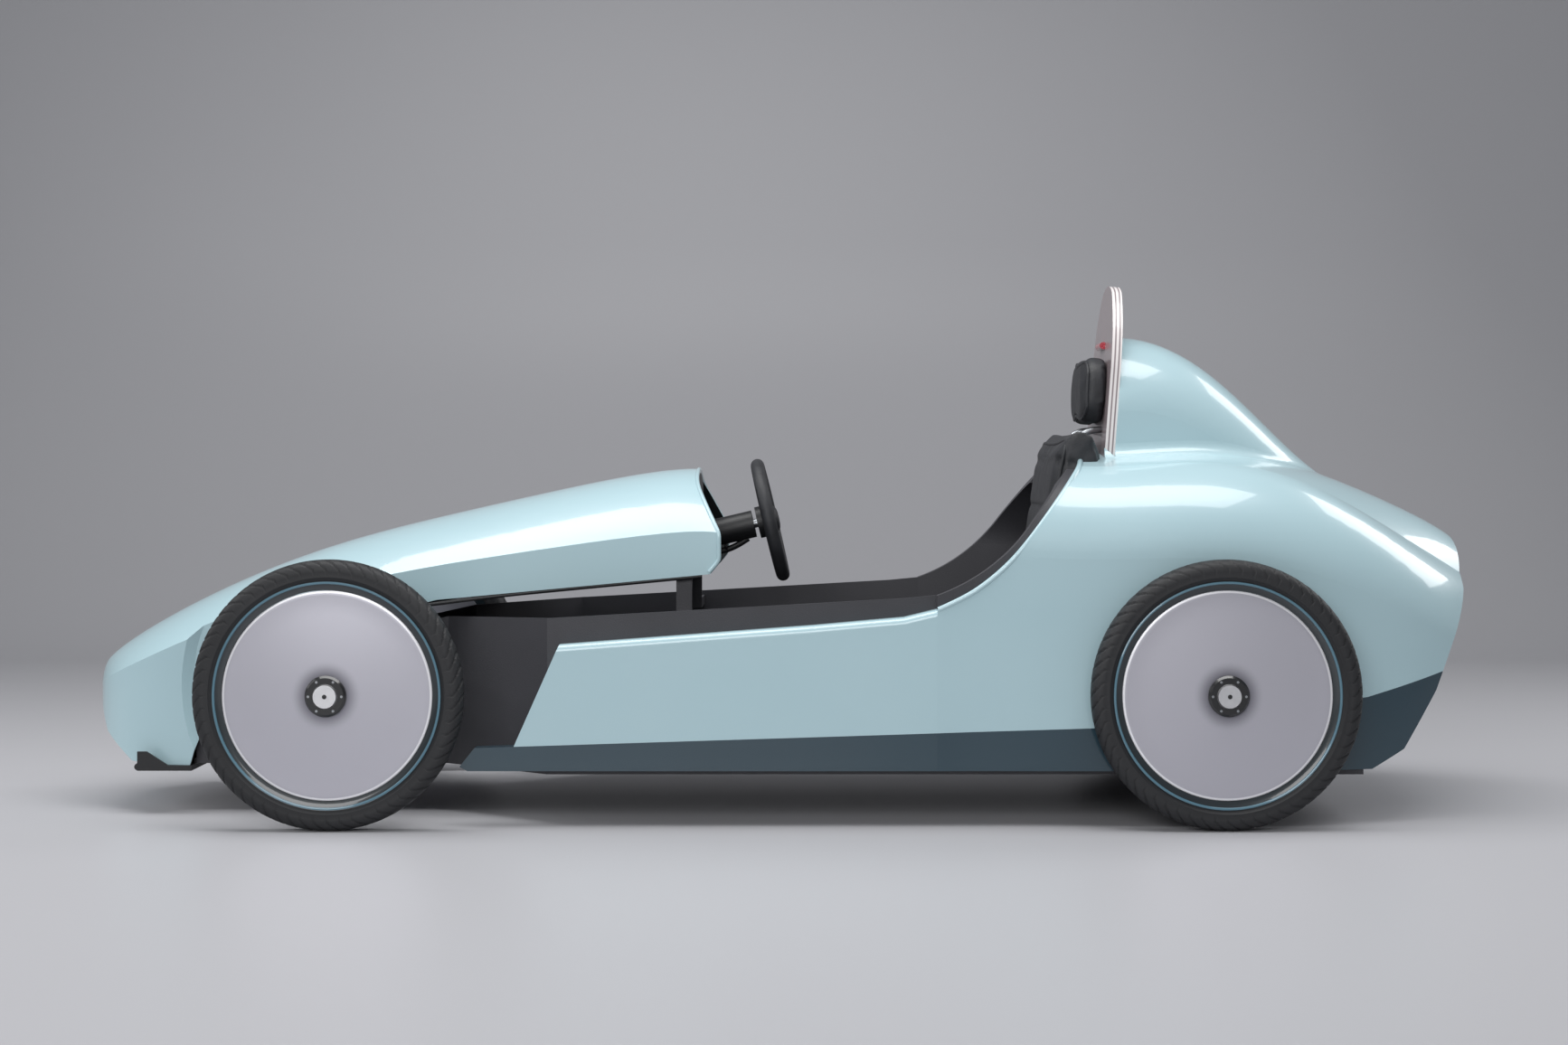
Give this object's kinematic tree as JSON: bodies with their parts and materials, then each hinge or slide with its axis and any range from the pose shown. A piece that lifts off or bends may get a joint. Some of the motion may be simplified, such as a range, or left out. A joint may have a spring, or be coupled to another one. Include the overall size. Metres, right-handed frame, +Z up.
{
  "type": "electric pedal car",
  "caption": "Adult-size electric pedal car with a long bonnet, open cockpit, humped headrest tail and disc wheels outside the body; steers through a rack.",
  "frame": {"origin": "on the ground under the middle of the car's length, on its centreline", "axes": "+X forward to the nose, +Y to the driver's left, +Z up"},
  "size_m": [2.7, 0.904, 1.0355],
  "materials": {
    "aqua_paint": "gloss",
    "teal_paint": "gloss",
    "tub_grey": "satin",
    "black_plastic": "matte",
    "seat_black": "matte",
    "board_white": "satin",
    "rim_grip": "matte",
    "tyre_rubber": "matte",
    "wheel_silver": "satin",
    "cap_alloy": "satin",
    "steel_parts": "satin"
  },
  "bodies": {
    "chassis": {"axle_stub_left": "steel_parts", "axle_stub_right": "steel_parts", "battery_pack": "black_plastic", "bonnet": "aqua_paint", "cockpit_liner_left": "tub_grey", "cockpit_liner_right": "tub_grey", "dash_panel": "black_plastic", "drive_motor": "steel_parts", "floor_pan": "tub_grey", "front_skid": "black_plastic", "headrest_board": "board_white", "headrest_pad": "seat_black", "pedal_unit": "black_plastic", "rear_axle": "steel_parts", "scuttle_frame": "tub_grey", "seat_back": "seat_black", "seat_base": "seat_black", "seat_bulkhead": "tub_grey", "side_panel_left": "aqua_paint", "side_panel_right": "aqua_paint", "sill_left": "teal_paint", "sill_right": "teal_paint", "steering_box": "steel_parts", "steering_column": "black_plastic", "tail_shell": "aqua_paint", "tail_valance": "teal_paint", "tub_wall_left": "tub_grey", "tub_wall_right": "tub_grey"},
    "steering": {"steering_rim": "rim_grip", "steering_hub": "steel_parts", "steering_shaft": "steel_parts"},
    "rack": {"rack_bar": "steel_parts"},
    "knuckle_l": {"knuckle_left": "steel_parts"},
    "knuckle_r": {"knuckle_right": "steel_parts"},
    "crank": {"crank_set": "steel_parts", "pedal_left": "black_plastic", "pedal_right": "black_plastic"},
    "wheel_front_left": {"tyre_front_left": "tyre_rubber", "wheel_disc_front_left": "wheel_silver", "hub_ring_front_left": "black_plastic", "axle_cap_front_left": "cap_alloy"},
    "wheel_front_right": {"tyre_front_right": "tyre_rubber", "wheel_disc_front_right": "wheel_silver", "hub_ring_front_right": "black_plastic", "axle_cap_front_right": "cap_alloy"},
    "wheel_rear_left": {"tyre_rear_left": "tyre_rubber", "wheel_disc_rear_left": "wheel_silver", "hub_ring_rear_left": "black_plastic", "axle_cap_rear_left": "cap_alloy"},
    "wheel_rear_right": {"tyre_rear_right": "tyre_rubber", "wheel_disc_rear_right": "wheel_silver", "hub_ring_rear_right": "black_plastic", "axle_cap_rear_right": "cap_alloy"}
  },
  "joints": [
    {"name": "steering_turn", "type": "hinge", "parent": "chassis", "child": "steering", "pos_m": [0.017, 0, 0.563], "axis": [-0.9732, 0, 0.23], "range_deg": [-75, 75]},
    {"name": "rack_slide", "type": "slide", "parent": "chassis", "child": "rack", "axis": [0, -1, 0], "range_m": [-0.02618, 0.02618]},
    {"name": "kingpin_left", "type": "hinge", "parent": "chassis", "child": "knuckle_l", "pos_m": [0.825, 0.34, 0.25], "axis": [0, 0, 1], "range_deg": [-25, 25]},
    {"name": "kingpin_right", "type": "hinge", "parent": "chassis", "child": "knuckle_r", "pos_m": [0.825, -0.34, 0.25], "axis": [0, 0, 1], "range_deg": [-25, 25]},
    {"name": "spin_front_left", "type": "hinge", "parent": "knuckle_l", "child": "wheel_front_left", "pos_m": [0.825, 0.415, 0.25], "axis": [0, 1, 0], "continuous": true},
    {"name": "spin_front_right", "type": "hinge", "parent": "knuckle_r", "child": "wheel_front_right", "pos_m": [0.825, -0.415, 0.25], "axis": [0, 1, 0], "continuous": true},
    {"name": "spin_rear_left", "type": "hinge", "parent": "chassis", "child": "wheel_rear_left", "pos_m": [-0.83, 0.415, 0.25], "axis": [0, 1, 0], "continuous": true},
    {"name": "spin_rear_right", "type": "hinge", "parent": "chassis", "child": "wheel_rear_right", "pos_m": [-0.83, -0.415, 0.25], "axis": [0, 1, 0], "continuous": true},
    {"name": "crank_turn", "type": "hinge", "parent": "chassis", "child": "crank", "pos_m": [0.545, 0, 0.3], "axis": [0, 1, 0], "continuous": true}
  ],
  "couplings": [
    {"joint": "rack_slide", "follows": "steering_turn", "m_per_rad": 0.02},
    {"joint": "kingpin_left", "follows": "steering_turn", "ratio": 0.33333},
    {"joint": "kingpin_right", "follows": "steering_turn", "ratio": 0.33333}
  ]
}
